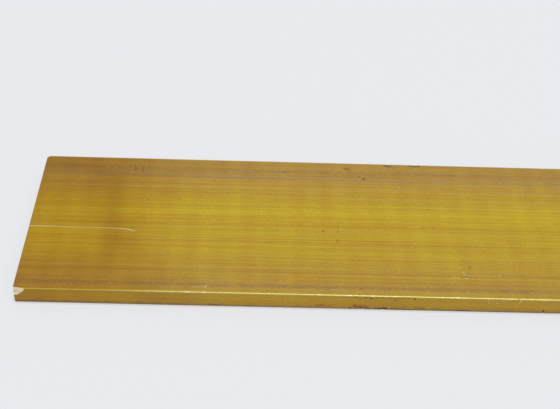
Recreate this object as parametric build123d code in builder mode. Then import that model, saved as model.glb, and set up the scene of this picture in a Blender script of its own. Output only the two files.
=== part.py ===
"""Brass flat bar: one cut length of drawn rectangular stock, lying on its wide face.

The bar is one solid. Its section is a rectangle whose long edges have the small radius that a
drawing die leaves. Both ends are sawn square and lightly deburred. Knocks have damaged two corners
of the left end: the front one has a shallow bruise in its upper half, and the back one is blunted
through the whole thickness.

Frame: millimetres, +Z up, origin at the centre of the underside. +X runs along the bar, away from
the damaged end, and +Y runs across it, from the front edge to the back edge.
"""

import os

from build123d import *

# Trade section, 1/4 by 2-1/2 in, and the 12 in cut length
bar_thickness = 6.35
bar_width = 63.5
bar_length = 304.8

# Radius of the four long edges, as drawn
edge_radius = 0.5

# Deburring chamfer round each sawn end
end_break = 0.2

# Bruise on the left end's front corner: its reach along the front edge, and its depth there
bruise_reach = 3.4
bruise_depth = 0.6

# Blunted corner at the left end's back: how much of each face the knock took
blunt_size = 1.1

# Where the damage sits, and the ball that fits the bruise's reach and depth
left_end = -bar_length / 2
front_edge = -bar_width / 2
back_edge = bar_width / 2
ball_radius = (bruise_reach**2 + bruise_depth**2) / (2 * bruise_depth)
ball_y = front_edge + bruise_depth - ball_radius


with BuildPart() as flat_bar:
    # Stock: the drawn section, run from the left end to the right one, then deburred
    with BuildSketch(Plane.YZ.offset(left_end)):
        with Locations((0, bar_thickness / 2)):
            RectangleRounded(bar_width, bar_thickness, edge_radius)
    extrude(amount=bar_length)
    chamfer(flat_bar.faces().filter_by(Axis.X).edges(), length=end_break)

    # Bruise: a dish from a ball that stands outside the front edge, level with the top corner
    with Locations((left_end, ball_y, bar_thickness)):
        Sphere(ball_radius, mode=Mode.SUBTRACT)

    # Blunted corner: a three-sided prism, taken off through the thickness
    with BuildSketch():
        with BuildLine():
            Polyline(
                (left_end, back_edge),
                (left_end + blunt_size, back_edge),
                (left_end, back_edge - blunt_size),
                close=True,
            )
        make_face()
    extrude(amount=bar_thickness, mode=Mode.SUBTRACT)

flat_bar.part.label = "flat_bar"

os.makedirs("parts", exist_ok=True)
export_step(flat_bar.part, "parts/flat_bar.step")
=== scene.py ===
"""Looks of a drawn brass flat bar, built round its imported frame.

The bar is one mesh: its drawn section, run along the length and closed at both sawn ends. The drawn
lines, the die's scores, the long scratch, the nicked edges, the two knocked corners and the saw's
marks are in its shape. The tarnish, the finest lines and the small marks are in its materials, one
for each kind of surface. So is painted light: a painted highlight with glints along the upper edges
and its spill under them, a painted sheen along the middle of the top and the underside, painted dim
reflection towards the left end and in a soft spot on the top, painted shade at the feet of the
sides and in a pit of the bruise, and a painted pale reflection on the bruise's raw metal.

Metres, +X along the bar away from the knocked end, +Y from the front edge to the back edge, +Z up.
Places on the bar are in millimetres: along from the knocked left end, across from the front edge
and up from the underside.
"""

import math

import bpy
import numpy as np
from mathutils import Matrix, Vector, geometry, noise


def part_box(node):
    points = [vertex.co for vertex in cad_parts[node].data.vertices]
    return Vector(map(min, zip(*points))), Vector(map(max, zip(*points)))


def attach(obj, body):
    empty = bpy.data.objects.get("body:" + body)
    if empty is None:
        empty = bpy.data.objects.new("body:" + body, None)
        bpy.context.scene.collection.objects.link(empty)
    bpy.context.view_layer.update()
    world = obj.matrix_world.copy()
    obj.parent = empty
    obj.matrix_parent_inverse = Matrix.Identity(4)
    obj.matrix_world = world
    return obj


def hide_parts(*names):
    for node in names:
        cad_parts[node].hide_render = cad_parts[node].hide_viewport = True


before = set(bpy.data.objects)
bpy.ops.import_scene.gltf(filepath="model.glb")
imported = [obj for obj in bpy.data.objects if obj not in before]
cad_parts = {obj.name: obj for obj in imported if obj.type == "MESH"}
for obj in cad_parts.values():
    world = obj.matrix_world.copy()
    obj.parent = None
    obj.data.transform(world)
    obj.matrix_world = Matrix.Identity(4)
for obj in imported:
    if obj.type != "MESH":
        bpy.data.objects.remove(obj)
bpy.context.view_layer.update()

MM = 0.001
LOW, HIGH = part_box("flat_bar")
LENGTH, WIDTH, THICKNESS = HIGH - LOW
LEFT, FRONT = LOW.x, LOW.y

# Sizes that the solid has too
EDGE_RADIUS = 0.5 * MM
END_BREAK = 0.2 * MM
BRUISE_REACH = 3.4 * MM
BRUISE_DEPTH = 0.6 * MM
BRUISE_BALL = (BRUISE_REACH**2 + BRUISE_DEPTH**2) / (2 * BRUISE_DEPTH)
BLUNT_SIZE = 1.1 * MM

# How far from their corners the two knocks run out in the mesh
BRUISE_FADE = 1.5 * MM
BLUNT_FADE = 6 * MM

# The share of the bruise's depth that is even, and waves in it: how many to a mm, and their share
BRUISE_EVEN = 0.96
BRUISE_WAVES = [(1.3, 0.06), (3.1, 0.04)]

# Mesh steps across the top and the underside, up the sides, round the edges and along the bar, and
# how fast the steps grow away from a finer stretch
TOP_STEP = 0.3 * MM
UNDERSIDE_STEP = 1.5 * MM
SIDE_STEP = 0.45 * MM
ARC_STEPS = 5
LENGTH_STEP = 2.6 * MM
STEP_GROWTH = 0.4

# Finer steps along the bar at the bruise, the right end, the nicks and the scratch's bend, which
# lies between two distances from the left end
BRUISE_STEP = 0.22 * MM
RIGHT_END_STEP = 0.1 * MM
NICK_STEP = 0.5 * MM
BEND_STEP = 1.0 * MM
BEND_FROM, BEND_TO = 24 * MM, 35 * MM

# Finer steps across the top at the scratch, and how far they go on beside it
SCRATCH_STEP = 0.09 * MM
SCRATCH_MARGIN = 0.2 * MM

# Points inside the sawn ends: their step, and how far they keep from the outline. Their triangles
# are those inside it, and points closer than the last value, in mm, are one.
CAP_STEP = 0.4 * MM
CAP_MARGIN = 0.7 * MM
KEEP_INSIDE = 1
SAME_POINT = 1e-6

# Relief: the depth of the drawn lines, the share of it that is the same all along the bar and how
# far the rest keeps, and the depth, pitch and bend of the saw's marks
LINE_DEPTH = 0.012 * MM
LINE_STEADY = 0.6
LINE_KEEP = 60 * MM
SAW_DEPTH = 0.02 * MM
SAW_PITCH = 1.7 * MM
SAW_BEND = 0.06 / MM
SEED = 11

# Scores that the die left along the top: across, half width and depth in mm
SCORES = [
    (2.7, 0.45, 0.020),
    (9.1, 0.35, 0.018),
    (15.4, 0.35, 0.014),
    (22.7, 0.35, 0.012),
    (30.5, 0.35, 0.014),
    (32.3, 0.35, 0.014),
    (39.6, 0.35, 0.010),
    (46.1, 0.40, 0.014),
    (54.4, 0.45, 0.016),
    (58.2, 0.50, 0.012),
]

# The long scratch from the left end: its course (along, across) in mm, and how plainly each of its
# stretches shows
SCRATCH = [
    (-0.5, 27.64),
    (8.0, 27.68),
    (15.0, 27.58),
    (25.0, 27.56),
    (28.9, 27.40),
    (31.0, 27.22),
    (32.4, 26.95),
    (33.6, 26.65),
    (34.5, 26.42),
]
SCRATCH_SHOWS = [1.0, 0.65, 0.58, 0.70, 0.85, 1.0, 1.0, 0.7]

# Half widths in mm of the scratch, its groove and its shine, how far from its middle its lip lies,
# the groove's depth and the lip's height
SCRATCH_HALF_WIDTH = 0.17
GROOVE_HALF_WIDTH = 1.6 * SCRATCH_HALF_WIDTH
SHINE_HALF_WIDTH = 1.2 * SCRATCH_HALF_WIDTH
LIP_PLACE = 2 * SCRATCH_HALF_WIDTH
GROOVE_DEPTH = 0.04
LIP_HEIGHT = 0.01

# Nicks in the long edges: along, half length and depth in mm
NICKS = {
    "front_top": [
        (13.5, 0.7, 0.05),
        (38.5, 0.9, 0.07),
        (53.0, 0.7, 0.06),
        (58.8, 0.5, 0.12),
        (76.0, 0.8, 0.05),
        (105.6, 0.6, 0.10),
        (107.2, 0.5, 0.09),
        (119.0, 0.8, 0.05),
        (146.4, 0.6, 0.13),
        (151.0, 0.9, 0.06),
        (156.6, 0.6, 0.05),
        (188.0, 0.9, 0.08),
        (231.0, 0.7, 0.10),
        (266.0, 0.9, 0.07),
    ],
    "back_top": [(119.7, 1.1, 0.05), (129.2, 1.5, 0.06), (201.0, 0.9, 0.08), (262.0, 0.8, 0.10)],
    "back_foot": [(44.0, 0.9, 0.09), (171.0, 1.0, 0.08), (243.0, 0.8, 0.10)],
    "front_foot": [(107.0, 1.6, 0.07), (114.0, 1.1, 0.08), (164.2, 0.6, 0.10), (219.0, 0.9, 0.08)],
}

# Which material each stretch of the section wears, and its scale on the bake's map, per metre
SURFACES = {
    "front": ("side", 9.8),
    "front_top": ("edge", 9.8),
    "top": ("top", 8.0),
    "back_top": ("edge", 9.8),
    "back": ("side", 9.8),
    "back_foot": ("edge", 9.8),
    "underside": ("underside", 4.6),
    "front_foot": ("edge", 9.8),
}

# The map's margin, where the right end starts on it, and the ends' scale on it, per metre
MAP_MARGIN = 0.006
MAP_MIDDLE = 0.5
CAP_SCALE = 7.6

# Corners that turn by more than this, in degrees, stay sharp
SHARP_ANGLE = 40


def graded(start, end, coarse, spots):
    """Stations from start to end: coarse steps, and finer ones in each spot (low, high, step)."""
    stations = [start]
    while stations[-1] < end:
        here = stations[-1]
        step = coarse
        for low, high, fine in spots:
            away = max(low - here, here - high, 0)
            step = min(step, fine + STEP_GROWTH * away)
        stations.append(min(here + step, end))
    return np.array(stations)


def along_stations():
    """Where the section is repeated: closer at the ends, the scratch's bend and the nicks."""
    spots = [
        (LEFT, LEFT + BRUISE_REACH, BRUISE_STEP),
        (HIGH.x - END_BREAK, HIGH.x, RIGHT_END_STEP),
        (LEFT + BEND_FROM, LEFT + BEND_TO, BEND_STEP),
    ]
    for along, half_length, _ in sum(NICKS.values(), []):
        middle = LEFT + along * MM
        spots.append((middle - half_length * MM, middle + half_length * MM, NICK_STEP))
    breaks = [LEFT + END_BREAK, HIGH.x - END_BREAK]
    return np.union1d(graded(LEFT, HIGH.x, LENGTH_STEP, spots), breaks)


class Section:
    """The drawn outline as a closed ring of points, from the foot of the front side upwards."""

    def __init__(self):
        self.points = []
        front, back = LOW.y + EDGE_RADIUS, HIGH.y - EDGE_RADIUS
        foot, top = LOW.z + EDGE_RADIUS, HIGH.z - EDGE_RADIUS
        courses = [FRONT + across * MM for _, across in SCRATCH]
        scratch = (min(courses) - SCRATCH_MARGIN, max(courses) + SCRATCH_MARGIN, SCRATCH_STEP)
        across = graded(front, back, TOP_STEP, [scratch])
        below = graded(front, back, UNDERSIDE_STEP, [])
        up = graded(foot, top, SIDE_STEP, [])
        self.straight("front", LOW.y, up, (-1, 0))
        self.arc("front_top", front, top, 180)
        self.straight("top", across, HIGH.z, (0, 1))
        self.arc("back_top", back, top, 90)
        self.straight("back", HIGH.y, up[::-1], (1, 0))
        self.arc("back_foot", back, foot, 0)
        self.straight("underside", below[::-1], LOW.z, (0, -1))
        self.arc("front_foot", front, foot, -90)
        names, *numbers = zip(*self.points)
        self.stretch = np.array(names)
        self.y, self.z, self.out_y, self.out_z = np.array(numbers)

    def straight(self, name, y, z, out):
        """A straight stretch, without its last point, which starts the next one."""
        y, z = np.broadcast_arrays(y, z)
        self.points += [(name, *point, *out) for point in zip(y[:-1], z[:-1])]

    def arc(self, name, middle_y, middle_z, start):
        """A quarter turn clockwise from start, in degrees, without its last point."""
        for step in range(ARC_STEPS):
            turn = math.radians(start - 90 * step / ARC_STEPS)
            y, z = math.cos(turn), math.sin(turn)
            place = middle_y + EDGE_RADIUS * y, middle_z + EDGE_RADIUS * z
            self.points.append((name, *place, y, z))


def drawn_lines(x, count):
    """Depth of the drawn lines at each station and ring point: most of it keeps along the bar."""
    random = np.random.default_rng(SEED)
    place = (x - x[0]) / LINE_KEEP
    before = place.astype(int)
    share = (place - before)[:, None]
    steady = random.uniform(0, LINE_STEADY, count)
    passing = random.uniform(0, 1 - LINE_STEADY, (before[-1] + 2, count))
    return LINE_DEPTH * (steady + passing[before] * (1 - share) + passing[before + 1] * share)


def dent(distance, half_width):
    """A smooth hollow: 1 in the middle, 0 from half_width on."""
    return np.clip(1 - (distance / half_width) ** 2, 0, 1) ** 2


def distance_to_course(along, across, course):
    """Distance in mm from each point to a course of straight runs."""
    nearest = np.inf
    for (x0, y0), (x1, y1) in zip(course, course[1:]):
        run_x, run_y = x1 - x0, y1 - y0
        share = ((along - x0) * run_x + (across - y0) * run_y) / (run_x**2 + run_y**2)
        share = np.clip(share, 0, 1)
        off = np.hypot(along - x0 - share * run_x, across - y0 - share * run_y)
        nearest = np.minimum(nearest, off)
    return nearest


def top_relief(along, across):
    """Depth on the top face beyond the drawn lines: the die's scores and the long scratch."""
    off = distance_to_course(along, across, SCRATCH)
    lip = LIP_HEIGHT * dent(off - LIP_PLACE, SCRATCH_HALF_WIDTH)
    depth = GROOVE_DEPTH * dent(off, GROOVE_HALF_WIDTH) - lip
    for place, half_width, deep in SCORES:
        depth += deep * dent(across - place, half_width)
    return depth * MM


def relief(x, section):
    """How deep the surface lies under the section's outline, per station and ring point."""
    depth = drawn_lines(x, len(section.y))
    along = (x[:, None] - LEFT) / MM
    top = section.stretch == "top"
    depth[:, top] += top_relief(along, (section.y[None, top] - FRONT) / MM)
    for edge, nicks in NICKS.items():
        round_it = section.stretch == edge
        for middle, half_length, deep in nicks:
            depth[:, round_it] += deep * MM * dent(along - middle, half_length)
    to_end = np.minimum(x - LEFT, HIGH.x - x)[:, None]
    return np.maximum(depth, 0) + np.maximum(END_BREAK - to_end, 0)


def bruised(x, y, z):
    """y with the left end's front corner pushed in, as by the ball that shaped the solid's dish."""
    flat = (x - LEFT) ** 2 + (HIGH.z - z) ** 2
    push = np.sqrt(np.maximum(BRUISE_BALL**2 - flat, 0)) - (BRUISE_BALL - BRUISE_DEPTH)
    fade = np.clip(1 - (y - FRONT - EDGE_RADIUS) / BRUISE_FADE, 0, 1)
    push = np.maximum(push, 0) * fade**2
    for i, j in zip(*np.nonzero(push)):
        place = Vector((x[i, j], y[i, j], z[i, j])) / MM
        kept = BRUISE_EVEN
        for per_mm, share in BRUISE_WAVES:
            kept += share * noise.noise(place * per_mm)
        push[i, j] *= kept
    return y + push


def blunted(x, y):
    """x with the left end's back corner moved to the slanting face that the knock left."""
    cut = np.maximum(BLUNT_SIZE - (HIGH.y - y), 0)
    return x + cut * np.clip(1 - (x - LEFT) / BLUNT_FADE, 0, 1)


def saw_marks(y, z):
    """How deep the saw's arcs are at each point of an end face."""
    arcs = (y + SAW_BEND * (z - HIGH.z) ** 2) / SAW_PITCH
    return SAW_DEPTH * (1 + np.sin(2 * np.pi * arcs)) / 2


def cap(ring_y, ring_z):
    """Fills an end's ring: the inner points (y, z), and triangles that number the ring first."""
    inner = [
        (y, z)
        for y in np.arange(min(ring_y) + CAP_MARGIN, max(ring_y) - CAP_MARGIN, CAP_STEP)
        for z in np.arange(min(ring_z) + CAP_MARGIN, max(ring_z) - CAP_MARGIN, CAP_STEP)
    ]
    count = len(ring_y)
    points = [Vector(point) / MM for point in [*zip(ring_y, ring_z), *inner]]
    edges = [(i, (i + 1) % count) for i in range(count)]
    filled = geometry.delaunay_2d_cdt(points, edges, [], KEEP_INSIDE, SAME_POINT)
    triangles, sources = filled[2:4]
    number = [source[0] for source in sources]
    return np.array(inner), [[number[corner] for corner in triangle] for triangle in triangles]


class BarMesh:
    """Vertices, faces, map corners and materials of the bar, gathered as it is built."""

    def __init__(self):
        self.section = Section()
        self.x = along_stations()
        self.ring = len(self.section.y)
        self.faces, self.map, self.worn = [], [], []
        self.skin()
        self.close(0, -1, MAP_MARGIN)
        self.close(len(self.x) - 1, 1, MAP_MIDDLE + MAP_MARGIN)

    def skin(self):
        """The long surfaces: the section at every station, with its relief and knocked corners."""
        section = self.section
        depth = relief(self.x, section)
        x = np.broadcast_to(self.x[:, None], depth.shape)
        y = section.y - depth * section.out_y
        z = section.z - depth * section.out_z
        x, y = blunted(x, y), bruised(x, y, z)
        self.vertices = np.stack([x, y, z], -1).reshape(-1, 3)
        u = MAP_MARGIN + (1 - 2 * MAP_MARGIN) * (self.x - LEFT) / LENGTH
        v = self.map_heights()
        for i in range(len(self.x) - 1):
            for j in range(self.ring):
                k = (j + 1) % self.ring
                here, there = i * self.ring, (i + 1) * self.ring
                self.faces.append((here + j, there + j, there + k, here + k))
                low, high = v[j], v[j + 1]
                self.map += [(u[i], low), (u[i + 1], low), (u[i + 1], high), (u[i], high)]
                self.worn.append(MATERIALS.index(SURFACES[section.stretch[j]][0]))

    def map_heights(self):
        """Height on the map of each ring point, and of the first one again as the ring closes."""
        section = self.section
        run_y = np.diff(section.y, append=section.y[0])
        run_z = np.diff(section.z, append=section.z[0])
        scale = [SURFACES[name][1] for name in section.stretch]
        return MAP_MARGIN + np.append(0, np.cumsum(np.hypot(run_y, run_z) * scale))

    def close(self, station, way, corner):
        """The sawn face at one station, looking way along X, laid out on the map from corner on."""
        start = station * self.ring
        ring = self.vertices[start : start + self.ring]
        inner, triangles = cap(ring[:, 1], ring[:, 2])
        x = (LEFT if way < 0 else HIGH.x) - way * saw_marks(*inner.T)
        x = blunted(x, inner[:, 0])
        first = len(self.vertices)
        self.vertices = np.vstack([self.vertices, np.column_stack([x, inner])])
        number = [*range(start, start + self.ring), *range(first, first + len(inner))]
        for triangle in triangles:
            corners = [number[i] for i in triangle][::way]
            self.faces.append(corners)
            for place in self.vertices[corners]:
                u = corner + (place[1] - LOW.y) * CAP_SCALE
                self.map.append((u, 1 - MAP_MARGIN - (place[2] - LOW.z) * CAP_SCALE))
            self.worn.append(MATERIALS.index("end"))

    def make(self, name):
        """The finished object, smooth but for its sharp corners, with its map for the bake."""
        mesh = bpy.data.meshes.new(name)
        mesh.from_pydata(self.vertices.tolist(), [], self.faces)
        mesh.shade_smooth()
        mesh.set_sharp_from_angle(angle=math.radians(SHARP_ANGLE))
        layer = mesh.uv_layers.new(name="OFBake")
        layer.uv.foreach_set("vector", np.array(self.map, np.float32).ravel())
        for painter in PAINTERS.values():
            mesh.materials.append(painter())
        mesh.polygons.foreach_set("material_index", self.worn)
        mesh.update()
        return placed(name, mesh)


def placed(name, data):
    """A new object with that data, in the scene."""
    made = bpy.data.objects.new(name, data)
    bpy.context.scene.collection.objects.link(made)
    return made


def linear(share):
    """A screen's share of one colour as the linear one, by the sRGB curve."""
    return share / 12.92 if share < 0.04045 else ((share + 0.055) / 1.055) ** 2.4


def colour(red, green, blue):
    """A colour written as it shows on a screen, 0 to 255, as the shader's linear one."""
    return (*[linear(value / 255) for value in (red, green, blue)], 1)


# Tones of the brass: its tarnish from brown to yellow, the yellow also a painted sheen, the films
# on it and fresh metal. Some are painted light, in part or whole: the highlight and glints on the
# upper edges, its spill under them, the shade at the feet, the pale reflection on the bruise's raw
# metal and the shade of a pit in it
BROWN = colour(175, 140, 65)
AMBER = colour(180, 145, 60)
GOLD = colour(186, 153, 50)
SIDE_GOLD = colour(186, 149, 54)
# A yellow that is tarnish and, in the middle of the top, a painted sheen
YELLOW_SHEEN = colour(192, 162, 47)
LEMON = colour(201, 183, 48)
GREY_FILM = colour(134, 113, 92)
BLUE_FILM = colour(136, 124, 120)
RUSSET = colour(158, 104, 42)
FOOT_FILM_AND_SHADE = colour(118, 94, 80)
FOOT_EDGE_AND_SHADE = colour(92, 72, 60)
BROW_AND_SPILL = colour(172, 146, 104)
SOOT = colour(76, 56, 38)
RUBBED_HIGHLIGHT = colour(207, 196, 106)
GLINT = colour(236, 230, 176)
DIM_RUBBED_HIGHLIGHT = colour(190, 164, 56)
FRESH = colour(224, 218, 170)
RAW_AND_REFLECTION = colour(240, 230, 203)
RAW_SHADE = colour(229, 215, 184)
PIT_SHADE = colour(188, 168, 134)
SAWN = colour(206, 186, 106)
RUST = colour(138, 74, 46)

# The tarnish across the width, with a painted sheen that makes the middle yellower: share of the
# width from the front edge, and tone
TARNISH_AND_SHEEN = [
    (0.00, AMBER),
    (0.14, AMBER),
    (0.27, GOLD),
    (0.42, GOLD),
    (0.58, YELLOW_SHEEN),
    (0.70, GOLD),
    (0.80, AMBER),
    (0.92, BROWN),
    (1.00, BROWN),
]

# Grains are written as the length and width of their spots in mm, their detail and their shift in
# mm, which keeps them apart, and lie about this middle. A range is where something starts and where
# it is whole.
GRAIN_MIDDLE = 0.5

# Streaks and mottle of drawn brass: grains, each with how far it swings that colour. The first one
# shows in the relief too. Red also follows green, by a share.
GREEN_STREAKS = [
    (160, 0.45, 2.0, 0, 0.55),
    (36, 0.40, 2.0, 15, 0.42),
    (260, 1.3, 2.0, 30, 0.20),
    (320, 4.5, 2.0, 60, 0.12),
    (1.0, 0.8, 4.0, 75, 0.42),
    (8, 22, 2.0, 90, 0.18),
    (2.2, 60, 2.0, 95, 0.07),
]
RED_STREAKS = [(1.0, 0.8, 4.0, 165, 0.30)]
BLUE_STREAKS = [
    (120, 0.6, 2.0, 105, 1.0),
    (200, 2.2, 2.0, 120, 0.7),
    (1.0, 0.9, 2.0, 135, 1.6),
]
RED_FOLLOWS = 0.36

# A painted dim reflection makes the bar darker towards the left end: along the bar in mm, where it
# starts to clear and where it has cleared, how far that border wanders, and the share of red, green
# and blue that it leaves on the top and on the sides
DIM_LEFT_FROM, DIM_LEFT_TO = 22, 58
DIM_LEFT_GRAIN, DIM_LEFT_WANDER = (30, 12, 2.0, 150), 16
DIM_LEFT = (0.83, 0.72, 0.54)
DIM_LEFT_SIDE = (0.88, 0.79, 0.68)

# Soft spots on the top that darken or lighten it, the first a painted dim reflection across the
# bar:
# from (along, across) to (along, across) and half width in mm, and the share of red, green and blue
# that is left in the middle
SOFT_SPOTS = [
    # A painted dim reflection, slanting across the bar
    ((23.6, 51.0), (29.0, 22.0), 9.5, (0.88, 0.84, 0.86)),
    ((-5.0, 23.0), (20.0, 23.0), 12.0, (1.10, 1.18, 0.99)),
    ((-2.0, 33.5), (24.0, 33.5), 5.0, (1.05, 1.06, 0.99)),
    ((30.0, 35.0), (43.0, 33.5), 6.5, (1.07, 1.12, 1.04)),
    ((-2.0, 59.5), (19.0, 58.5), 7.0, (0.92, 0.91, 0.84)),
    ((-2.0, 49.5), (17.0, 47.5), 6.0, (0.95, 0.92, 0.97)),
    ((38.0, 2.8), (55.0, 3.6), 6.0, (0.95, 0.92, 0.89)),
    ((43.0, 45.0), (58.0, 45.0), 4.5, (0.95, 0.89, 0.95)),
    ((48.0, 57.0), (60.0, 60.0), 6.0, (0.95, 0.93, 0.90)),
]

# Soft spots on the front side that darken it, from (along, up) to (along, up)
FRONT_SOFT_SPOTS = [
    ((-2.0, 3.2), (9.0, 3.2), 8.0, (0.91, 0.93, 1.00)),
    ((43.0, 3.2), (52.0, 3.2), 10.0, (0.88, 0.85, 0.95)),
]

# Faint even bands across the bar, lighter and darker in turn: their pitch and the place of a light
# one in mm, the share of red, green and blue that they add or take, and the grain that their
# strength follows, from the least share on
CROSS_PITCH, CROSS_PLACE = 8.79, 40.0
CROSS_SHARES = (0.018, 0.028, 0.020)
CROSS_GRAIN, CROSS_LEAST = (26, 30, 2.0, 70), 0.5

# Lines drawn along the top: across and half width in mm, tone and strength. A grain breaks each of
# them, shifted more from one to the next.
DRAWN = [
    (3.6, 0.90, RUSSET, 0.22),
    (6.4, 0.50, LEMON, 0.14),
    (8.2, 0.35, LEMON, 0.24),
    (9.2, 0.32, RUSSET, 0.56),
    (10.8, 0.50, LEMON, 0.09),
    (12.2, 0.35, RUSSET, 0.16),
    (15.4, 0.35, RUSSET, 0.28),
    (17.6, 0.60, LEMON, 0.08),
    (20.0, 0.50, RUSSET, 0.09),
    (21.3, 0.40, LEMON, 0.07),
    (22.7, 0.35, RUSSET, 0.24),
    (23.6, 0.30, LEMON, 0.36),
    (24.8, 0.55, LEMON, 0.30),
    (25.9, 0.50, LEMON, 0.12),
    (26.4, 3.40, LEMON, 0.26),
    (28.5, 0.30, LEMON, 0.30),
    (30.5, 0.35, RUSSET, 0.30),
    (32.3, 0.35, RUSSET, 0.26),
    (33.3, 0.35, LEMON, 0.24),
    (37.0, 0.70, LEMON, 0.42),
    (39.6, 0.50, RUSSET, 0.20),
    (40.9, 0.40, LEMON, 0.30),
    (46.1, 0.40, RUSSET, 0.30),
    (48.4, 0.50, LEMON, 0.28),
    (50.3, 0.80, RUSSET, 0.18),
    (52.7, 0.50, LEMON, 0.20),
]

LINE_GRAIN, LINE_SHIFT, LINE_RANGE = (60, 6, 2.0), 7, (0.30, 0.55)

# Films beside the edges: across and half width in mm, tone and strength
FILMS = [
    (2.9, 0.7, GREY_FILM, 0.32),
    (3.1, 1.6, GREY_FILM, 0.50),
    (4.4, 2.6, GREY_FILM, 0.18),
    (54.3, 0.9, BLUE_FILM, 0.74),
    (57.0, 5.0, GREY_FILM, 0.20),
    (58.2, 1.1, GREY_FILM, 0.50),
    (4.0, 5.0, RUSSET, 0.12),
    (58.0, 6.0, RUSSET, 0.14),
]

# Specks that break up the films, in patches, and the shares of the films outside and in a patch
SPECK_GRAIN, SPECK_RANGE = (1.1, 0.7, 4.0, 40), (0.28, 0.72)
PATCH_GRAIN, PATCH_RANGE = (16, 3.0, 2.0, 55), (0.30, 0.62)
PATCH_LEAST, PATCH_MORE = 0.65, 0.45

# Pale marks on the top: from (along, across) to (along, across) and half width in mm, and strength
PALE_MARKS = [
    ((1.5, 29.1), (1.7, 31.3), 0.14, 0.20),
    ((4.6, 29.5), (4.8, 30.9), 0.14, 0.16),
    ((11.1, 48.6), (11.2, 50.2), 0.15, 0.24),
    ((17.9, 50.9), (18.0, 52.0), 0.14, 0.15),
    ((26.7, 43.2), (26.9, 43.5), 0.22, 0.30),
    ((17.7, 2.2), (17.6, 3.6), 0.15, 0.18),
    ((28.8, 2.1), (29.0, 3.5), 0.15, 0.15),
    ((44.3, 2.36), (50.6, 2.39), 0.14, 0.24),
    ((54.3, 2.25), (58.8, 2.35), 0.15, 0.36),
    ((58.6, 2.0), (59.0, 3.0), 0.18, 0.80),
    ((97.1, 2.36), (101.8, 2.29), 0.16, 0.30),
    ((105.4, 1.9), (105.7, 1.1), 0.20, 0.42),
    ((106.8, 1.1), (107.3, 1.5), 0.18, 0.38),
    ((115.2, 51.4), (115.3, 51.2), 0.58, 0.16),
    ((122.6, 51.0), (122.7, 50.8), 0.58, 0.20),
    ((119.8, 36.8), (119.9, 36.5), 0.40, 0.34),
    ((124.6, 31.2), (125.5, 31.2), 0.40, 0.25),
    ((126.4, 31.2), (127.2, 31.2), 0.35, 0.20),
    ((135.7, 8.85), (138.3, 8.6), 0.14, 0.60),
    ((137.8, 12.7), (140.0, 13.1), 0.14, 0.36),
    ((139.9, 11.2), (139.7, 9.3), 0.16, 0.60),
    ((139.8, 9.6), (151.1, 9.55), 0.14, 0.40),
    ((140.3, 8.5), (140.6, 8.3), 0.26, 0.95),
    ((151.4, 11.3), (151.2, 9.7), 0.14, 0.24),
    ((145.5, 25.6), (145.7, 25.4), 0.24, 0.45),
    ((165.6, 51.3), (165.6, 49.5), 0.50, 0.14),
]

# Dark marks on the top, in the same form
DARK_MARKS = [
    ((31.2, 59.6), (31.5, 56.3), 0.80, 0.26),
    ((33.7, 59.5), (34.1, 56.0), 0.70, 0.22),
    ((38.8, 58.8), (38.9, 57.1), 0.60, 0.18),
    ((21.5, 30.1), (21.7, 29.6), 0.24, 0.50),
    ((47.2, 42.3), (48.3, 42.3), 0.60, 0.22),
    ((82.6, 57.6), (85.0, 57.7), 1.00, 0.14),
    ((104.6, 60.2), (105.9, 59.9), 1.10, 0.36),
    ((109.4, 56.3), (109.5, 56.1), 0.66, 0.46),
    ((110.8, 55.0), (111.0, 54.8), 0.72, 0.62),
    ((118.7, 62.4), (120.6, 62.3), 1.10, 0.52),
    ((121.0, 61.9), (122.0, 61.6), 0.80, 0.20),
    ((127.7, 62.6), (130.7, 62.6), 1.00, 0.58),
    ((126.9, 61.5), (128.0, 61.5), 0.90, 0.22),
    ((95.6, 28.6), (95.8, 28.3), 0.48, 0.62),
    ((100.9, 34.3), (100.7, 28.6), 0.26, 0.24),
    ((100.8, 28.3), (100.8, 27.9), 0.40, 0.44),
    ((101.9, 34.0), (101.8, 32.0), 0.24, 0.16),
    ((100.4, 24.5), (100.3, 23.0), 0.36, 0.34),
    ((127.4, 4.5), (127.6, 4.3), 0.24, 0.45),
    ((139.6, 9.3), (140.3, 8.9), 0.38, 0.50),
    ((141.9, 13.5), (142.1, 13.1), 0.66, 0.36),
    ((140.9, 58.1), (142.4, 58.1), 1.00, 0.16),
    ((151.8, 58.2), (153.2, 58.3), 1.00, 0.16),
    ((155.9, 5.2), (156.0, 5.0), 0.24, 0.50),
    ((160.0, 24.0), (160.4, 24.0), 0.26, 0.45),
]

# Marks, in shares of their half width: how far a grain moves their outline, how far in it lies and
# over how much it is soft
MARK_GRAIN = (0.6, 0.6, 3.0, 9)
SMOOTHER, RAGGED, MORE_RAGGED = 0.5, 1.3, 1.8
MARK_INSET, MARK_SOFTNESS = 0.25, 0.45

# The bruise's raw metal, in mm: where it ends past its ball, how far a grain moves that, and how
# much farther it reaches at the end face
RAW_RANGE = (0.18, 0.11)
RAW_GRAIN, RAW_WANDER = (1.6, 1.6), 0.18
RAW_END_RANGE, RAW_END_REACH = (0.3, 0.1), 0.25

# Its lower border: the height at the end face, how fast that rises with the distance squared, how
# far the grain moves it and how soft it is, all in mm
RAW_FOOT, RAW_RISE = 3.3, 0.21
RAW_FOOT_GRAIN, RAW_FOOT_WANDER = (0.9, 0.9, 2.0, 3), 0.7
RAW_FOOT_SOFTNESS = 0.3

# Its painted shaded spots, the painted shade of a pit in it, as a mark with (along, up), and its
# roughness
RAW_SHADE_GRAIN, RAW_SHADE_RANGE = (1.6, 1.2, 2.0, 4), (0.35, 0.65)
BRUISE_PIT_SHADE = ((0.1, 4.5), (0.7, 4.6), 0.55, 0.55)
CRUSHED_ROUGHNESS = 0.65

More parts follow.
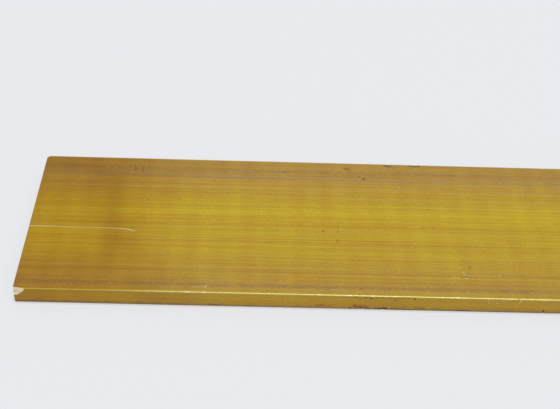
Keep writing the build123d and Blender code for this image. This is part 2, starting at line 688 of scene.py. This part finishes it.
# Pale marks on the front side: from (along, up) to (along, up) and half width in mm, and strength
FRONT_PALE_MARKS = [
    ((146.4, 6.3), (146.4, 5.4), 0.18, 0.85),
    ((146.2, 4.7), (146.5, 4.3), 0.20, 0.95),
    ((148.8, 4.5), (149.3, 4.4), 0.20, 0.85),
    ((149.8, 4.85), (152.6, 5.9), 0.13, 0.65),
    ((155.9, 4.55), (156.7, 6.0), 0.18, 0.85),
    ((159.9, 5.6), (160.2, 5.7), 0.18, 0.75),
    ((163.5, 5.8), (163.7, 5.9), 0.18, 0.75),
    ((40.5, 5.5), (41.6, 5.7), 0.18, 0.40),
]

# Dark marks on the front side, in the same form
FRONT_DARK_MARKS = [
    ((104.6, 5.75), (105.5, 5.65), 0.44, 0.60),
    ((106.3, 5.15), (106.6, 5.10), 0.42, 0.55),
    ((107.7, 5.65), (108.5, 5.55), 0.46, 0.66),
    ((109.6, 5.25), (110.4, 5.10), 0.44, 0.58),
    ((111.6, 5.40), (112.2, 5.35), 0.36, 0.32),
    ((105.2, 1.5), (105.6, 1.1), 0.60, 0.50),
    ((106.6, 1.3), (107.0, 1.1), 0.55, 0.55),
    ((108.4, 1.0), (108.8, 0.9), 0.50, 0.48),
    ((112.6, 0.8), (113.3, 0.9), 0.66, 0.80),
    ((114.0, 0.9), (115.0, 0.8), 0.74, 0.92),
    ((115.8, 0.6), (122.5, 0.5), 0.55, 0.42),
    ((103.2, 0.8), (104.0, 0.7), 0.50, 0.60),
    ((117.3, 4.8), (117.5, 4.6), 0.52, 0.48),
    ((123.3, 5.6), (123.5, 5.5), 0.42, 0.90),
    ((164.0, 1.4), (164.1, 1.0), 0.46, 0.92),
    ((29.4, 5.2), (29.9, 5.1), 0.40, 0.30),
    ((60.0, 0.9), (63.0, 0.8), 0.60, 0.35),
    ((71.0, 0.8), (73.0, 0.8), 0.60, 0.35),
    ((136.0, 0.8), (141.0, 0.7), 0.55, 0.40),
]

# Rust-brown stains on the front side, in the same form
FRONT_RUST_MARKS = [
    ((93.0, 1.5), (95.6, 1.6), 0.75, 0.48),
    ((96.4, 1.4), (97.6, 1.3), 0.60, 0.40),
    ((100.9, 5.7), (104.0, 5.6), 0.32, 0.30),
    ((104.8, 1.9), (109.2, 1.2), 1.10, 0.54),
    ((109.0, 5.8), (122.6, 5.6), 0.36, 0.42),
    ((111.2, 0.9), (112.4, 0.8), 0.60, 0.45),
    ((116.4, 0.9), (119.2, 0.8), 0.60, 0.34),
    ((124.4, 1.5), (126.8, 1.1), 0.80, 0.34),
    ((130.0, 5.7), (136.0, 5.6), 0.34, 0.24),
]

# The front side's own marks stay on it: where they start and where they are whole, across in mm
FRONT_RANGE = (2.0, 1.0)

# The dark film at the foot of the sides, with painted shade where the bar meets the paper: its
# range up the side and how far a grain moves that, in mm, and its strength. Then the paler brow
# under the top edge, a film with a painted spill of the edge's highlight.
FOOT_SHADE_RANGE, FOOT_SHADE_SHARE = (3.3, 1.4), 0.56
FOOT_SHADE_GRAIN, FOOT_SHADE_WANDER = (2.0, 1.2, 4.0, 25), 2.4
BROW_SPILL_RANGE, BROW_SPILL_SHARE = (4.7, 5.9), 0.32

# The rubbed line along the upper edges, which is also a painted highlight: how far its middle leans
# to the side and its range from there, in mm, its dashes, and the bright painted glints in it
HIGHLIGHT_LEAN, HIGHLIGHT_SPREAD = 0.05, (0.44, 0.18)
DASH_GRAIN, DASH_RANGE = (1.7, 30, 4.0), (0.12, 0.48)
GLINT_GRAIN, GLINT_RANGE = (2.4, 30, 3.0, 20), (0.55, 0.74)

# The painted highlight is dull at the left end and bright from there on, along in mm, and the line
# is smoother than the rest
HIGHLIGHT_RANGE = (26, 48)
RUB_SMOOTHER = 0.12

# The brown of the lower edges, with painted shade along the foot: its range up the bar in mm, and
# its strength
LOW_EDGE_RANGE, LOW_EDGE_SHARE = (2.0, 1.0), 0.85

# The sawn ends: the cut's fine lines, as noise spots to a mm along, across and up, soft clouds, how
# far both swing the colour, and the share of that in red
CUT_SPOTS, CUT_DETAIL, CUT_SWING = (1, 2.6, 0.25), 3.0, 0.35
CLOUD_GRAIN, CLOUD_SWING = (4, 4, 2.0, 50), 0.2
CUT_RED = 0.45

# Roughness of each surface, and the depth of the bumps on drawn, rubbed and sawn ones
ROUGHNESS = {
    "brass_top": 0.40,
    "brass_side": 0.42,
    "brass_edge": 0.40,
    "brass_underside": 0.42,
    "brass_end": 0.45,
    "paper": 0.90,
}
LINE_BUMP, DASH_BUMP, CUT_BUMP = 0.01 * MM, 0.02 * MM, 0.03 * MM

# A colour mixing node's sockets: its share, first and second colour, and its result
MIX_INPUTS, MIX_OUTPUT = (0, 6, 7), 2


class Nodes:
    """Builds nodes in a tree. Inputs are numbers, colours or the outputs of other calls."""

    def __init__(self, tree):
        self.tree = tree

    def add(self, kind, *inputs, **settings):
        """A node of that kind, with its settings and its first inputs."""
        node = self.tree.nodes.new("ShaderNode" + kind)
        for key, value in settings.items():
            setattr(node, key, value)
        for socket, value in zip(node.inputs, inputs):
            self.feed(socket, value)
        return node

    def feed(self, socket, value):
        """Sets a socket to a number or colour, or links it; None leaves it as it is."""
        if isinstance(value, bpy.types.NodeSocket):
            self.tree.links.new(value, socket)
        elif value is not None:
            socket.default_value = value[:3] if socket.type == "VECTOR" else value

    def maths(self, operation, *values):
        """The result of one operation on numbers."""
        return self.add("Math", *values, operation=operation).outputs[0]

    def vector(self, operation, *values, scale=None):
        """The result of one operation on vectors, which is a number where it measures."""
        node = self.add("VectorMath", *values, operation=operation)
        if scale is not None:
            self.feed(node.inputs["Scale"], scale)
        single = operation in ("DOT_PRODUCT", "LENGTH", "DISTANCE")
        return node.outputs[1 if single else 0]

    def step(self, value, start, end):
        """Rises smoothly from 0 at start to 1 at end, or falls where end is the lower."""
        results = (0, 1) if start < end else (1, 0)
        limits = (*sorted((start, end)), *results)
        return self.add("MapRange", value, *limits, interpolation_type="SMOOTHSTEP").outputs[0]

    def mix(self, share, first, second):
        """The first colour where share is 0, the second where it is 1."""
        node = self.add("Mix", data_type="RGBA")
        for index, value in zip(MIX_INPUTS, (share, first, second)):
            self.feed(node.inputs[index], value)
        return node.outputs[MIX_OUTPUT]


class Paint(Nodes):
    """One material's nodes, with its place on the bar in mm and the looks that surfaces share."""

    def __init__(self, name):
        self.material = bpy.data.materials.new(name)
        self.material.use_nodes = True
        super().__init__(self.material.node_tree)
        self.shader = self.tree.nodes["Principled BSDF"]
        self.feed(self.shader.inputs["Metallic"], 1.0)
        self.roughness = ROUGHNESS[name]
        self.feed(self.shader.inputs["Roughness"], self.roughness)
        self.crushed = None
        corner = (-LEFT / MM, -FRONT / MM, -LOW.z / MM)
        place = self.add("TexCoord").outputs["Object"]
        scaled = self.vector("SCALE", place, scale=1 / MM)
        self.place = self.vector("ADD", scaled, corner)
        self.along, self.across, self.up = self.add("SeparateXYZ", self.place).outputs

    def spots(self, place, detail):
        """Noise with a spot to each unit of place."""
        return self.add("TexNoise", place, None, 1.0, detail).outputs[0]

    def grain(self, long, wide, detail=2.0, shift=0.0):
        """Noise whose spots are long by wide, in mm, along and across the bar."""
        shifted = self.vector("ADD", self.place, (shift, shift, shift))
        scaled = self.vector("MULTIPLY", shifted, (1 / long, 1 / wide, 1 / wide))
        return self.spots(scaled, detail)

    def moved(self, value, grain, amount):
        """value plus that amount of a grain, given by its numbers."""
        return self.maths("MULTIPLY_ADD", self.grain(*grain), amount, value)

    def grains(self, rows):
        """The grain of each row of numbers, with the amount that the row ends with."""
        return [(self.grain(*numbers), amount) for *numbers, amount in rows]

    def total(self, parts):
        """A sum of (grain, amount), each grain swinging about 0."""
        level = 0.0
        for grain, amount in parts:
            swing = self.maths("SUBTRACT", grain, GRAIN_MIDDLE)
            level = self.maths("MULTIPLY_ADD", swing, amount, level)
        return level

    def stirred(self, tint, red, green, blue):
        """tint with each of its colours raised by its own share."""
        shares = [self.maths("ADD", share, 1.0) for share in (red, green, blue)]
        return self.vector("MULTIPLY", tint, self.add("CombineXYZ", *shares).outputs[0])

    def streaked(self, tint):
        """tint with the lines that drawing leaves and a fine mottle, and its finest lines alone."""
        greens = self.grains(GREEN_STREAKS)
        green = self.total(greens)
        own_red = self.total(self.grains(RED_STREAKS))
        red = self.maths("MULTIPLY_ADD", green, RED_FOLLOWS, own_red)
        blue = self.total(self.grains(BLUE_STREAKS))
        finest, _ = greens[0]
        return self.stirred(tint, red, green, blue), finest

    def dimmed_left(self, tint, shares=DIM_LEFT):
        """tint under the painted dim reflection towards the left end, which leaves those shares of
        it.
        """
        border = self.moved(self.along, DIM_LEFT_GRAIN, DIM_LEFT_WANDER)
        middle = DIM_LEFT_WANDER * GRAIN_MIDDLE
        clear = self.step(border, DIM_LEFT_FROM + middle, DIM_LEFT_TO + middle)
        return self.mix(clear, self.vector("MULTIPLY", tint, shares), tint)

    def stroke(self, flat, start, end, half_width):
        """1 on the middle line of a straight mark, falling to 0 at its half width."""
        run = Vector(end) - Vector(start)
        values = (flat, (*start, 0), (*(run / run.length_squared), 0), (*run, 0), half_width)
        return self.add("Group", *values, node_tree=STROKE).outputs[0]

    def strokes(self, marks, axes, ragged=SMOOTHER):
        """Share of each point that lies in one of the marks, given in the plane of two axes."""
        flat = self.add("CombineXYZ", *axes).outputs[0]
        rough = self.moved(MARK_INSET - ragged * GRAIN_MIDDLE, MARK_GRAIN, ragged)
        covered = 0.0
        for start, end, half_width, strength in marks:
            inside = self.maths("SUBTRACT", self.stroke(flat, start, end, half_width), rough)
            share = self.maths("MULTIPLY", self.step(inside, 0.0, MARK_SOFTNESS), strength)
            covered = self.maths("MAXIMUM", covered, share)
        return covered

    def in_ball(self):
        """Share of each point that the ball of the bruise reaches, raggedly."""
        middle = (0, (BRUISE_DEPTH - BRUISE_BALL) / MM, THICKNESS / MM)
        distance = self.vector("DISTANCE", self.place, middle)
        near_end = self.step(self.along, *RAW_END_RANGE)
        distance = self.maths("MULTIPLY_ADD", near_end, -RAW_END_REACH, distance)
        distance = self.moved(distance, RAW_GRAIN, RAW_WANDER)
        return self.step(distance, *[BRUISE_BALL / MM + past for past in RAW_RANGE])

    def bruise(self, tint):
        """tint, with the raw crushed metal of the left end's front corner on top, painted pale
        partly as its reflection of the white surroundings, with painted shade in spots and in a
        pit.
        """
        squared = self.maths("MULTIPLY", self.along, self.along)
        over = self.maths("MULTIPLY_ADD", squared, -RAW_RISE, self.up)
        over = self.moved(over, RAW_FOOT_GRAIN, RAW_FOOT_WANDER)
        above = self.step(over, RAW_FOOT, RAW_FOOT + RAW_FOOT_SOFTNESS)
        self.crushed = self.maths("MULTIPLY", self.in_ball(), above)
        shade = self.step(self.grain(*RAW_SHADE_GRAIN), *RAW_SHADE_RANGE)
        pit = self.strokes([BRUISE_PIT_SHADE], (self.along, self.up))
        # Raw metal painted pale, partly as its reflection of the white surroundings, with painted
        # shade in spots and in a pit
        raw_and_reflection = self.mix(pit, self.mix(shade, RAW_SHADE, RAW_AND_REFLECTION), PIT_SHADE)
        return self.mix(self.crushed, tint, raw_and_reflection)

    def finish(self, tint, bump, bump_depth):
        """The material in that tint, with its bump, matt where its metal is crushed."""
        self.feed(self.shader.inputs["Base Color"], tint)
        if self.crushed is not None:
            matt = self.maths("SUBTRACT", CRUSHED_ROUGHNESS, self.roughness)
            self.roughness = self.maths("MULTIPLY_ADD", matt, self.crushed, self.roughness)
        self.feed(self.shader.inputs["Roughness"], self.roughness)
        node = self.add("Bump")
        node.inputs["Distance"].default_value = bump_depth
        self.feed(node.inputs["Height"], bump)
        self.feed(self.shader.inputs["Normal"], node.outputs[0])
        return self.material


def stroke_group():
    """A node group: 1 on the middle line of a straight mark, 0 from its half width on."""
    group = bpy.data.node_groups.new("stroke", "ShaderNodeTree")
    sockets = ("Place", "Start", "Run share", "Run"), ("Half width",)
    for kind, names in zip(("NodeSocketVector", "NodeSocketFloat"), sockets):
        for name in names:
            group.interface.new_socket(name, in_out="INPUT", socket_type=kind)
    group.interface.new_socket("Share", in_out="OUTPUT", socket_type="NodeSocketFloat")
    source, sink = group.nodes.new("NodeGroupInput"), group.nodes.new("NodeGroupOutput")
    place, start, run_share, run, half_width, _ = source.outputs
    nodes = Nodes(group)
    away = nodes.vector("SUBTRACT", place, start)
    share = nodes.add("Clamp", nodes.vector("DOT_PRODUCT", away, run_share)).outputs[0]
    off = nodes.vector("SUBTRACT", away, nodes.vector("SCALE", run, scale=share))
    ratio = nodes.maths("DIVIDE", nodes.vector("LENGTH", off), half_width)
    inside = nodes.add("Math", 1.0, ratio, operation="SUBTRACT", use_clamp=True)
    nodes.feed(sink.inputs[0], inside.outputs[0])
    return group


STROKE = stroke_group()


def tarnish_and_sheen(paint):
    """The tarnish across the width, with the painted sheen that makes the middle yellower, smoothly
    from tone to tone.
    """
    ramp = paint.add("ValToRGB", paint.maths("MULTIPLY", paint.across, MM / WIDTH))
    ramp.color_ramp.interpolation = "EASE"
    stops = ramp.color_ramp.elements
    for place, tone in TARNISH_AND_SHEEN[1:-1]:
        stops.new(place).color = tone
    stops[0].color, stops[-1].color = TARNISH_AND_SHEEN[0][1], TARNISH_AND_SHEEN[-1][1]
    return ramp.outputs[0]


def band(paint, place, half_width):
    """1 at that place across the bar, falling to 0 at its half width."""
    off = paint.maths("ABSOLUTE", paint.maths("SUBTRACT", paint.across, place))
    return paint.step(off, half_width, 0.0)


def with_lines(paint, tint):
    """tint with each line of DRAWN on it, broken here and there."""
    for number, (place, half_width, tone, strength) in enumerate(DRAWN):
        kept = paint.step(paint.grain(*LINE_GRAIN, LINE_SHIFT * number), *LINE_RANGE)
        share = paint.maths("MULTIPLY", band(paint, place, half_width), kept)
        tint = paint.mix(paint.maths("MULTIPLY", share, strength), tint, tone)
    return tint


def with_films(paint, tint):
    """tint with the films beside the edges, broken into specks and patches."""
    specks = paint.step(paint.grain(*SPECK_GRAIN), *SPECK_RANGE)
    patches = paint.step(paint.grain(*PATCH_GRAIN), *PATCH_RANGE)
    kept = paint.maths("MULTIPLY_ADD", patches, PATCH_MORE, PATCH_LEAST)
    blotches = paint.maths("MULTIPLY", specks, kept)
    for place, half_width, tone, strength in FILMS:
        share = paint.maths("MULTIPLY", band(paint, place, half_width), blotches)
        tint = paint.mix(paint.maths("MULTIPLY", share, strength), tint, tone)
    return tint


def soft_spots(paint, tint, spots, axes, kept=1.0):
    """tint darkened or lightened in soft spots, some of them painted dim reflection, given in the
    plane of two axes.
    """
    flat = paint.add("CombineXYZ", *axes).outputs[0]
    for start, end, half_width, shares in spots:
        inside = paint.step(paint.stroke(flat, start, end, half_width), 0.0, 1.0)
        inside = paint.maths("MULTIPLY", inside, kept)
        tint = paint.mix(inside, tint, paint.vector("MULTIPLY", tint, shares))
    return tint


def cross_banded(paint, tint):
    """tint with the faint even bands across the bar, a little uneven in strength."""
    start = -math.tau * CROSS_PLACE / CROSS_PITCH
    turn = paint.maths("MULTIPLY_ADD", paint.along, math.tau / CROSS_PITCH, start)
    uneven = paint.maths("ADD", paint.grain(*CROSS_GRAIN), CROSS_LEAST)
    swing = paint.maths("MULTIPLY", paint.maths("COSINE", turn), uneven)
    light = paint.vector("ADD", paint.vector("MULTIPLY", swing, CROSS_SHARES), (1, 1, 1))
    return paint.vector("MULTIPLY", tint, light)


def top_paint():
    """The top: drawn lines, films beside the edges, soft spots, the scratch and small marks, with a
    painted sheen along its middle and painted dim reflection towards the left end and in one soft
    spot.
    """
    paint = Paint("brass_top")
    tint, finest = paint.streaked(tarnish_and_sheen(paint))
    # The top darkens towards the left end under a painted dim reflection
    tint = paint.dimmed_left(with_films(paint, with_lines(paint, tint)))
    plane = (paint.along, paint.across)
    tint = cross_banded(paint, soft_spots(paint, tint, SOFT_SPOTS, plane))
    stretches = zip(SCRATCH, SCRATCH[1:], SCRATCH_SHOWS)
    scratch = [(start, end, SHINE_HALF_WIDTH, shows) for start, end, shows in stretches]
    dark = paint.strokes(DARK_MARKS, plane, RAGGED)
    pale = paint.strokes(PALE_MARKS + scratch, plane)
    tint = paint.mix(pale, paint.mix(dark, tint, SOOT), FRESH)
    height = paint.maths("SUBTRACT", finest, paint.maths("MAXIMUM", dark, pale))
    return paint.finish(paint.bruise(tint), height, LINE_BUMP)


def underside_paint():
    """The underside: the same drawn finish and painted sheen along its middle, with no marks that
    show.
    """
    paint = Paint("brass_underside")
    tint, finest = paint.streaked(tarnish_and_sheen(paint))
    return paint.finish(tint, finest, LINE_BUMP)


def side_tint(paint, tint):
    """tint with the sides' film and painted shade at the foot, a paler brow that is partly painted
    highlight spill, and painted dim reflection towards the left end.
    """
    height = paint.moved(paint.up, FOOT_SHADE_GRAIN, FOOT_SHADE_WANDER)
    foot = paint.maths("MULTIPLY", paint.step(height, *FOOT_SHADE_RANGE), FOOT_SHADE_SHARE)
    # The paler brow under the top edge: a film, partly a painted spill of the edge's highlight
    brow = paint.maths("MULTIPLY", paint.step(paint.up, *BROW_SPILL_RANGE), BROW_SPILL_SHARE)
    return paint.dimmed_left(paint.mix(brow, paint.mix(foot, tint, FOOT_FILM_AND_SHADE), BROW_AND_SPILL), DIM_LEFT_SIDE)


def side_paint():
    """The front and back sides, and on the front one its soft spots, marks and stains."""
    paint = Paint("brass_side")
    tint, finest = paint.streaked(SIDE_GOLD)
    front = paint.step(paint.across, *FRONT_RANGE)
    plane = (paint.along, paint.up)
    tint = soft_spots(paint, side_tint(paint, tint), FRONT_SOFT_SPOTS, plane, front)
    coats = [
        (FRONT_RUST_MARKS, MORE_RAGGED, RUST),
        (FRONT_DARK_MARKS, MORE_RAGGED, SOOT),
        (FRONT_PALE_MARKS, SMOOTHER, FRESH),
    ]
    for marks, ragged, tone in coats:
        share = paint.maths("MULTIPLY", paint.strokes(marks, plane, ragged), front)
        tint = paint.mix(share, tint, tone)
    return paint.finish(paint.bruise(tint), finest, LINE_BUMP)


def rubbed_highlight_line(paint):
    """1 on the line along the edges that is rubbed and takes a painted highlight, falling to 0
    beside it.
    """
    other_side = paint.maths("SUBTRACT", WIDTH / MM, paint.across)
    from_side = paint.maths("MINIMUM", paint.across, other_side)
    from_top = paint.maths("SUBTRACT", THICKNESS / MM, paint.up)
    lean = paint.maths("SUBTRACT", from_top, from_side)
    off = paint.maths("ABSOLUTE", paint.maths("SUBTRACT", lean, HIGHLIGHT_LEAN))
    return paint.step(off, *HIGHLIGHT_SPREAD)


def edge_paint():
    """The long edges: the upper ones rubbed and with a painted highlight and glints in dashes, the
    lower ones brown with painted shade along the foot.
    """
    paint = Paint("brass_edge")
    tint, _ = paint.streaked(AMBER)
    dashes = paint.grain(*DASH_GRAIN)
    rubbed_highlight = paint.maths("MULTIPLY", rubbed_highlight_line(paint), paint.step(dashes, *DASH_RANGE))
    glints = paint.step(paint.grain(*GLINT_GRAIN), *GLINT_RANGE)
    bright = paint.step(paint.along, *HIGHLIGHT_RANGE)
    # The rubbed metal's colour with its painted highlight: dull at the left end, bright with
    # painted glints from there on
    worn = paint.mix(bright, DIM_RUBBED_HIGHLIGHT, paint.mix(glints, RUBBED_HIGHLIGHT, GLINT))
    # Under the rubbed line the edges darken towards the left end, a painted dim reflection
    tint = paint.mix(rubbed_highlight, paint.dimmed_left(tint), worn)
    # The lower edges go brown and darker: a brown film with painted shade along the foot
    foot = paint.maths("MULTIPLY", paint.step(paint.up, *LOW_EDGE_RANGE), LOW_EDGE_SHARE)
    tint = paint.bruise(paint.mix(foot, tint, FOOT_EDGE_AND_SHADE))
    paint.roughness = paint.maths("MULTIPLY_ADD", rubbed_highlight, -RUB_SMOOTHER, paint.roughness)
    return paint.finish(tint, dashes, DASH_BUMP)


def end_paint():
    """The sawn ends: paler metal with fine lines up the thickness."""
    paint = Paint("brass_end")
    cut = paint.spots(paint.vector("MULTIPLY", paint.place, CUT_SPOTS), CUT_DETAIL)
    clouds = paint.grain(*CLOUD_GRAIN)
    yellow = paint.total([(cut, CUT_SWING), (clouds, CLOUD_SWING)])
    tint = paint.stirred(SAWN, paint.maths("MULTIPLY", yellow, CUT_RED), yellow, yellow)
    return paint.finish(paint.bruise(tint), cut, CUT_BUMP)


PAINTERS = {
    "top": top_paint,
    "side": side_paint,
    "edge": edge_paint,
    "underside": underside_paint,
    "end": end_paint,
}
MATERIALS = list(PAINTERS)

# The photograph's width and the camera's focal length, both in pixels, and the camera that fits the
# bar's outline in it: its place, its turns in degrees and the nearest that it sees, in metres
FRAME_WIDTH = 560
FOCAL_PIXELS = 1000.4
CAMERA_PLACE = (-78.34 * MM, -240.13 * MM, 233.0 * MM)
CAMERA_YAW = 1.758
CAMERA_PITCH = 42.278
CAMERA_ROLL = 2.597
NEAR_CLIP = 0.01

# The even light from all round, and the lamps: place, size and power, all aimed at the bar
SKY = (0.97, 0.985, 1.0, 1)
SKY_STRENGTH = 0.82
SOFTBOXES = [
    ("softbox_front", (0.3, -0.6, 1.0), (1.1, 0.4), 2.9),
    ("softbox_back", (0.1, 0.9, 0.85), (1.6, 0.9), 1.0),
]

# The backdrop's pale grey, and how much of it the paper shows of itself, so that shadows on it stay
# soft: less of it close to the bar's foot, where the shadow is deep, and all of it far out, where
# the paper meets the backdrop unseen. The distances are in metres. Those from an end count for
# less, because the deep shadow reaches farther there than at the long edges.
BACKDROP = colour(234, 235, 239)
PAPER_GLOW = 0.83
FOOT_GLOW, FOOT_FROM, FOOT_TO = 0.42, 0.1 * MM, 0.6 * MM
END_SHARE = 0.35
PLAIN_FROM, PLAIN_TO = 0.5, 1.6

# The paper's side and how far it lies below the bar, in metres
PAPER_SIZE = 8
PAPER_DROP = 0.02 * MM


def camera():
    """The camera that took the photograph, as far as the bar's outline tells."""
    data = bpy.data.cameras.new("camera")
    data.lens = data.sensor_width * FOCAL_PIXELS / FRAME_WIDTH
    data.clip_start = NEAR_CLIP
    turn = (
        Matrix.Rotation(math.radians(-CAMERA_YAW), 4, "Z")
        @ Matrix.Rotation(math.radians(90 - CAMERA_PITCH), 4, "X")
        @ Matrix.Rotation(math.radians(CAMERA_ROLL), 4, "Z")
    )
    held = placed("camera", data)
    held.matrix_world = Matrix.Translation(CAMERA_PLACE) @ turn
    bpy.context.scene.camera = held


def softbox(name, place, size, power):
    """A soft rectangular lamp, aimed at the bar, that no camera sees."""
    data = bpy.data.lights.new(name, "AREA")
    data.shape = "RECTANGLE"
    data.size, data.size_y = size
    data.energy = power
    lamp = placed(name, data)
    lamp.location = place
    lamp.rotation_euler = (-Vector(place)).to_track_quat("-Z", "Y").to_euler()
    lamp.visible_camera = False


def pale_rays(nodes):
    """1 where a camera, glossy or transmission ray looks, so that all see the pale backdrop."""
    path = nodes.add("LightPath").outputs
    seen = path["Is Camera Ray"]
    for name in ("Is Glossy Ray", "Is Transmission Ray"):
        seen = nodes.maths("MAXIMUM", seen, path[name])
    return seen


def studio():
    """Even pale light from all round, with soft lamps before and behind the bar."""
    world = bpy.data.worlds.new("studio")
    world.use_nodes = True
    nodes = Nodes(world.node_tree)
    light = nodes.tree.nodes["Background"]
    nodes.feed(light.inputs["Color"], SKY)
    nodes.feed(light.inputs["Strength"], SKY_STRENGTH)
    backdrop = nodes.add("Background", BACKDROP)
    mix = nodes.add("MixShader", pale_rays(nodes), light.outputs[0], backdrop.outputs[0])
    nodes.feed(nodes.tree.nodes["World Output"].inputs[0], mix.outputs[0])
    bpy.context.scene.world = world
    for box in SOFTBOXES:
        softbox(*box)


def paper_glow(paint):
    """How much of the backdrop's grey the paper shows of itself, from the bar's foot outwards."""
    place = paint.add("TexCoord").outputs["Object"]
    past = paint.vector("SUBTRACT", paint.vector("ABSOLUTE", place), (LENGTH / 2, WIDTH / 2, 1))
    past = paint.vector("MULTIPLY", paint.vector("MAXIMUM", past, (0, 0, 0)), (END_SHARE, 1, 0))
    from_bar = paint.vector("LENGTH", past)
    out = paint.step(paint.vector("LENGTH", place), PLAIN_FROM, PLAIN_TO)
    away = paint.step(from_bar, FOOT_FROM, FOOT_TO)
    near = paint.maths("MULTIPLY_ADD", away, PAPER_GLOW - FOOT_GLOW, FOOT_GLOW)
    return paint.maths("MULTIPLY_ADD", out, 1 - PAPER_GLOW, near)


def paper():
    """A wide pale sheet under the bar, which keeps the bar's shadow, but softly."""
    half = PAPER_SIZE / 2
    corners = [(-half, -half), (half, -half), (half, half), (-half, half)]
    mesh = bpy.data.meshes.new("paper")
    mesh.from_pydata([(x, y, -PAPER_DROP) for x, y in corners], [], [(0, 1, 2, 3)])
    paint = Paint("paper")
    for socket, value in (("Metallic", 0.0), ("Base Color", BACKDROP), ("Specular IOR Level", 0.0)):
        paint.feed(paint.shader.inputs[socket], value)
    glow = paint.add("Emission", BACKDROP)
    share = paint.maths("MULTIPLY", pale_rays(paint), paper_glow(paint))
    mix = paint.add("MixShader", share, paint.shader.outputs[0], glow.outputs[0])
    paint.feed(paint.tree.nodes["Material Output"].inputs[0], mix.outputs[0])
    mesh.materials.append(paint.material)
    sheet = placed("paper", mesh)


camera()
studio()
paper()
bar = BarMesh().make("brass_bar")
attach(bar, "root")
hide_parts("flat_bar")

bpy.context.scene.view_settings.view_transform = "Standard"
